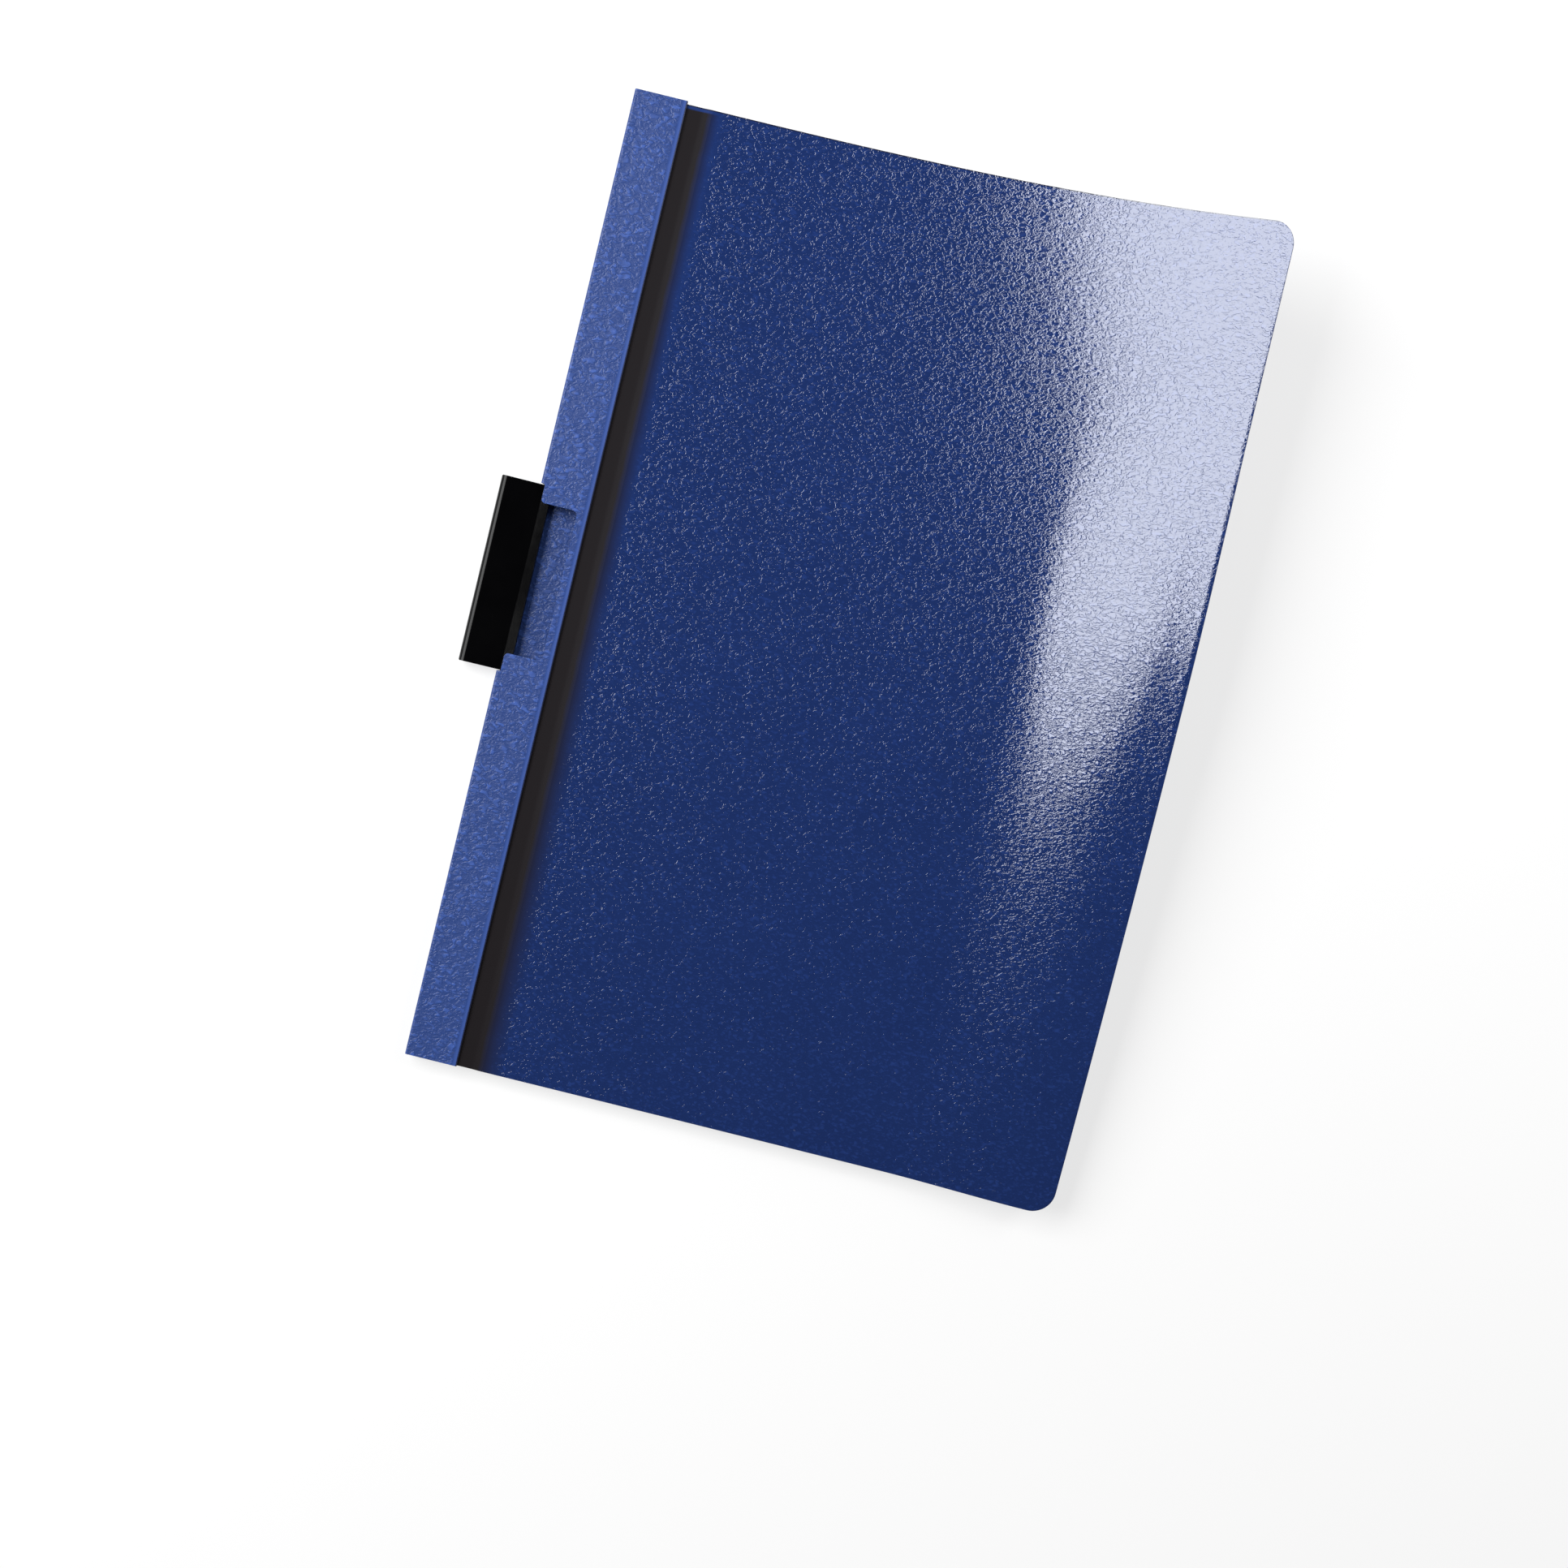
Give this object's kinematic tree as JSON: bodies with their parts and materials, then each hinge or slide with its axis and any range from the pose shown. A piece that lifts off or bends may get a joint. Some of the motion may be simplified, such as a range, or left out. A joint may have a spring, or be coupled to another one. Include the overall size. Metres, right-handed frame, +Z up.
{
  "type": "clip folder",
  "caption": "Clip folder for loose A4 sheets: leather-grain plastic covers, deep spine, and a spring-steel clip that slides out through a spine notch.",
  "frame": {"origin": "centre of the back cover's underside, on which the folder lies", "axes": "+X from the spine to the free edge, +Y along the spine to the folder's top, +Z up through the front cover"},
  "size_m": [0.2238, 0.312, 0.043],
  "materials": {
    "cover_plastic": "leather-grain embossed, satin to glossy",
    "lacquered_steel": "gloss black lacquer on spring steel"
  },
  "bodies": {
    "folder": {"back_cover_and_spine": "cover_plastic", "front_cover_weld_margin": "cover_plastic"},
    "cover": {"front_cover": "cover_plastic"},
    "clip": {"sliding_clip": "lacquered_steel"}
  },
  "joints": [
    {"name": "front_cover_hinge", "type": "hinge", "parent": "folder", "child": "cover", "pos_m": [-0.08835, 0, 0.00645], "axis": [0, -1, 0], "range_deg": [0, 165]},
    {"name": "clip_slide", "type": "slide", "parent": "folder", "child": "clip", "axis": [1, 0, 0], "range_m": [0, 0.0128]}
  ]
}
